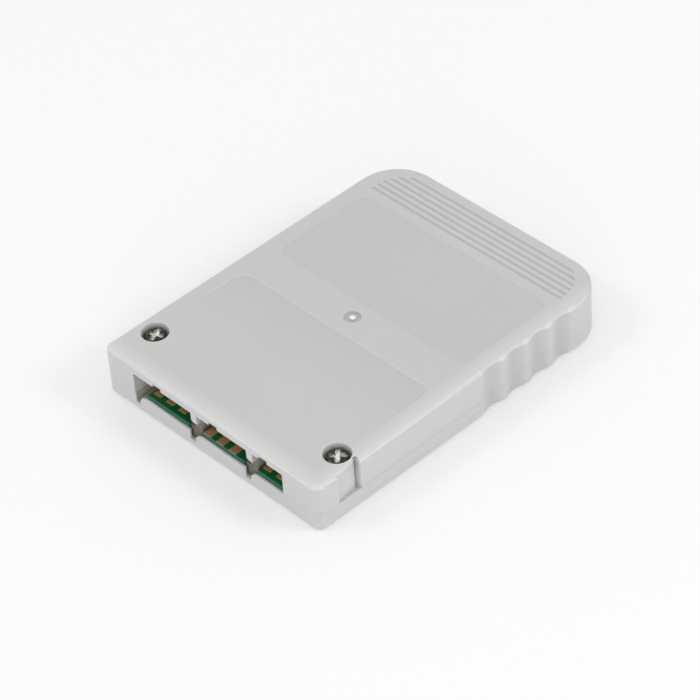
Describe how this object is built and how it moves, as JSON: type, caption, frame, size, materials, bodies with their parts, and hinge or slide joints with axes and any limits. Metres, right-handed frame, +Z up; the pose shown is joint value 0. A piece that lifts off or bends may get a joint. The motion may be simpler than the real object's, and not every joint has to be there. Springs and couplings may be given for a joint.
{
  "type": "console memory card",
  "caption": "Flat plastic memory card for a game console, with a windowed edge connector, two recessed screws, finger scallops and a grooved grip end.",
  "frame": {"origin": "on the table, under the middle of the card", "axes": "+X across the card, +Y towards the grooved grip end, -Y towards the connector end, +Z up through the screw side"},
  "size_m": [0.042, 0.056, 0.0078],
  "materials": {
    "shell_plastic": "fine matt moulded plastic",
    "board_laminate": "green solder resist",
    "contact_plating": "thin gold over copper, satin",
    "chip_resin": "matt black moulding",
    "lead_tin": "tinned",
    "capacitor_ceramic": "fired ceramic",
    "screw_nickel": "bright nickel plate"
  },
  "bodies": {
    "root": {"upper_shell": "shell_plastic", "lower_shell": "shell_plastic", "circuit_board": "board_laminate", "contact_1": "contact_plating", "contact_2": "contact_plating", "contact_3": "contact_plating", "contact_4": "contact_plating", "contact_5": "contact_plating", "contact_6": "contact_plating", "contact_7": "contact_plating", "contact_8": "contact_plating", "controller_chip": "chip_resin", "controller_leads": "lead_tin", "memory_chip": "chip_resin", "memory_leads": "lead_tin", "capacitor_1": "capacitor_ceramic", "capacitor_2": "capacitor_ceramic", "capacitor_3": "capacitor_ceramic", "capacitor_4": "capacitor_ceramic", "resistor_1": "chip_resin", "resistor_2": "chip_resin", "resistor_3": "chip_resin", "resistor_4": "chip_resin", "resonator": "capacitor_ceramic", "reset_chip": "chip_resin", "diode": "chip_resin", "screw_left": "screw_nickel", "screw_right": "screw_nickel"}
  },
  "joints": []
}
